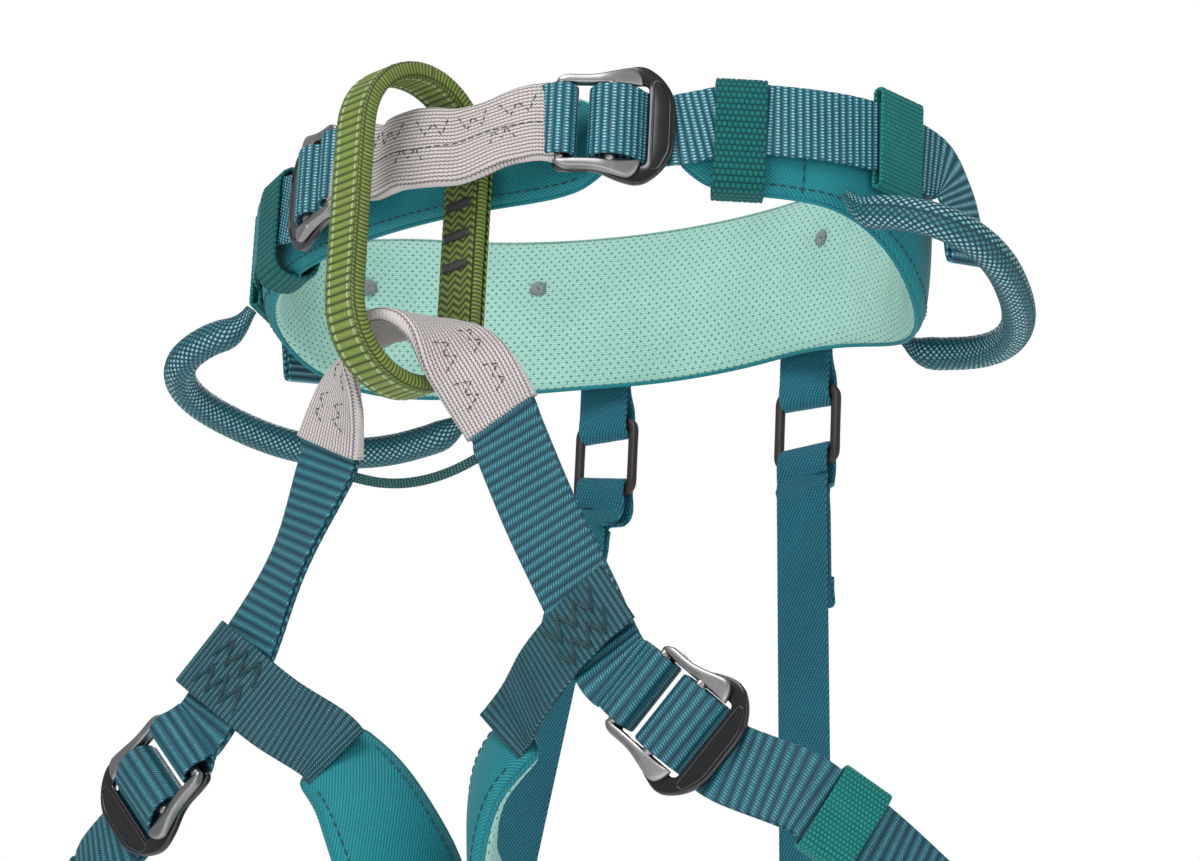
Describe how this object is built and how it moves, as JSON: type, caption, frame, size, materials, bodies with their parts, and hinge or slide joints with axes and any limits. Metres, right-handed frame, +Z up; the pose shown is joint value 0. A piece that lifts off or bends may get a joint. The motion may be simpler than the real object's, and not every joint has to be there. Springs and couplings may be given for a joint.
{
  "type": "climbing harness",
  "caption": "Adjustable climbing harness with padded waist belt, fabric belay loop, padded leg loops, gear loops and elastic risers.",
  "frame": {"origin": "centre of the waist opening, halfway up the waist webbing", "axes": "+Z up through the waist opening, -Y to the front of the wearer, +X to the wearer's left"},
  "size_m": [0.3382, 0.227, 0.3475],
  "materials": {
    "foam": "soft closed-cell foam",
    "shell": "twill-woven shell",
    "lining": "perforated spacer mesh",
    "webbing": "ribbed woven webbing",
    "keeper": "basket-woven elastic",
    "sleeve": "fine-ribbed abrasion sleeve",
    "belay": "ribbed woven loop",
    "elastic": "twill elastic",
    "bridge_elastic": "thin elastic",
    "gear_sheath": "braided sheath",
    "gear_core": "flexible tube",
    "buckle_base": "black anodised, semi-gloss",
    "buckle_frame": "satin metal",
    "hook": "moulded, matte"
  },
  "bodies": {
    "waist_belt": {"waist_foam": "foam", "waist_shell": "shell", "waist_lining": "lining", "waist_webbing": "webbing", "waist_tail_left": "webbing", "waist_tail_right": "webbing", "rear_keeper_left": "keeper", "rear_keeper_right": "keeper", "waist_buckle_base_left": "buckle_base", "waist_buckle_base_right": "buckle_base", "tie_in_webbing": "webbing", "tie_in_sleeve": "sleeve", "lower_tie_in_webbing": "webbing", "lower_tie_in_sleeve": "sleeve", "leg_bridge_elastic": "bridge_elastic", "riser_top_left": "elastic", "riser_top_right": "elastic"},
    "belay_loop": {"belay_loop": "belay"},
    "front_keeper_left": {"front_keeper_left": "keeper"},
    "waist_buckle_frame_left": {"waist_buckle_frame_left": "buckle_frame", "waist_webbing_turn_left": "webbing"},
    "gear_loop_left": {"gear_loop_sheath_left": "gear_sheath", "gear_loop_core_left": "gear_core"},
    "leg_loop_left": {"leg_strap_left": "webbing", "leg_junction_left": "webbing", "leg_foam_left": "foam", "leg_shell_left": "shell", "leg_lining_left": "lining", "leg_webbing_left": "webbing", "leg_tail_left": "webbing", "leg_keeper_left": "keeper", "leg_buckle_base_left": "buckle_base"},
    "leg_buckle_frame_left": {"leg_buckle_frame_left": "buckle_frame", "leg_webbing_turn_left": "webbing"},
    "riser_left": {"riser_hook_left": "hook", "riser_strap_left": "elastic"},
    "front_keeper_right": {"front_keeper_right": "keeper"},
    "waist_buckle_frame_right": {"waist_buckle_frame_right": "buckle_frame", "waist_webbing_turn_right": "webbing"},
    "gear_loop_right": {"gear_loop_sheath_right": "gear_sheath", "gear_loop_core_right": "gear_core"},
    "leg_loop_right": {"leg_strap_right": "webbing", "leg_junction_right": "webbing", "leg_foam_right": "foam", "leg_shell_right": "shell", "leg_lining_right": "lining", "leg_webbing_right": "webbing", "leg_tail_right": "webbing", "leg_keeper_right": "keeper", "leg_buckle_base_right": "buckle_base"},
    "leg_buckle_frame_right": {"leg_buckle_frame_right": "buckle_frame", "leg_webbing_turn_right": "webbing"},
    "riser_right": {"riser_hook_right": "hook", "riser_strap_right": "elastic"}
  },
  "joints": [
    {"name": "belay_loop_turn", "type": "hinge", "parent": "waist_belt", "child": "belay_loop", "pos_m": [0.002, -0.113, -0.0421], "axis": [0, 0, 1], "range_deg": [-2, 6], "stiffness_Nm_per_rad": 0.02},
    {"name": "front_keeper_slide_left", "type": "slide", "parent": "waist_belt", "child": "front_keeper_left", "axis": [0.8293, 0.5588, 0], "range_m": [-0.004, 0.005], "stiffness_N_per_m": 40},
    {"name": "waist_buckle_tilt_left", "type": "hinge", "parent": "waist_belt", "child": "waist_buckle_frame_left", "pos_m": [0.04527, -0.09201, -0.0035], "axis": [0, 0, -1], "range_deg": [0, 15], "stiffness_Nm_per_rad": 0.2},
    {"name": "gear_loop_swing_left", "type": "hinge", "parent": "waist_belt", "child": "gear_loop_left", "pos_m": [0.1145, 0.015, -0.034], "axis": [0.2688, -0.9558, 0.1195], "range_deg": [-15, 25], "stiffness_Nm_per_rad": 2},
    {"name": "leg_loop_swing_left", "type": "hinge", "parent": "waist_belt", "child": "leg_loop_left", "pos_m": [0.0346, -0.0975, -0.11], "axis": [1, 0, 0], "range_deg": [-6, 5], "stiffness_Nm_per_rad": 20},
    {"name": "leg_buckle_tilt_left", "type": "hinge", "parent": "leg_loop_left", "child": "leg_buckle_frame_left", "pos_m": [0.08776, -0.09672, -0.20264], "axis": [-0.6536, -0.0572, -0.7547], "range_deg": [0, 15], "stiffness_Nm_per_rad": 0.2},
    {"name": "riser_swing_left", "type": "hinge", "parent": "waist_belt", "child": "riser_left", "pos_m": [0.042, 0.082, -0.042], "axis": [1, 0, 0], "range_deg": [-5.5, 5], "stiffness_Nm_per_rad": 0.5},
    {"name": "front_keeper_slide_right", "type": "slide", "parent": "waist_belt", "child": "front_keeper_right", "axis": [-0.8293, 0.5588, 0], "range_m": [-0.004, 0.005], "stiffness_N_per_m": 40},
    {"name": "waist_buckle_tilt_right", "type": "hinge", "parent": "waist_belt", "child": "waist_buckle_frame_right", "pos_m": [-0.04527, -0.09201, -0.0035], "axis": [0, 0, 1], "range_deg": [0, 15], "stiffness_Nm_per_rad": 0.2},
    {"name": "gear_loop_swing_right", "type": "hinge", "parent": "waist_belt", "child": "gear_loop_right", "pos_m": [-0.1145, 0.015, -0.034], "axis": [0.2688, 0.9558, -0.1195], "range_deg": [-15, 25], "stiffness_Nm_per_rad": 2},
    {"name": "leg_loop_swing_right", "type": "hinge", "parent": "waist_belt", "child": "leg_loop_right", "pos_m": [-0.0346, -0.0975, -0.11], "axis": [1, 0, 0], "range_deg": [-6, 5], "stiffness_Nm_per_rad": 20},
    {"name": "leg_buckle_tilt_right", "type": "hinge", "parent": "leg_loop_right", "child": "leg_buckle_frame_right", "pos_m": [-0.08776, -0.09672, -0.20264], "axis": [-0.6536, 0.0572, 0.7547], "range_deg": [0, 15], "stiffness_Nm_per_rad": 0.2},
    {"name": "riser_swing_right", "type": "hinge", "parent": "waist_belt", "child": "riser_right", "pos_m": [-0.042, 0.082, -0.042], "axis": [1, 0, 0], "range_deg": [-5.5, 5], "stiffness_Nm_per_rad": 0.5}
  ],
  "couplings": [
    {"joint": "riser_swing_left", "follows": "leg_loop_swing_left", "ratio": 0.8},
    {"joint": "riser_swing_right", "follows": "leg_loop_swing_right", "ratio": 0.8}
  ]
}
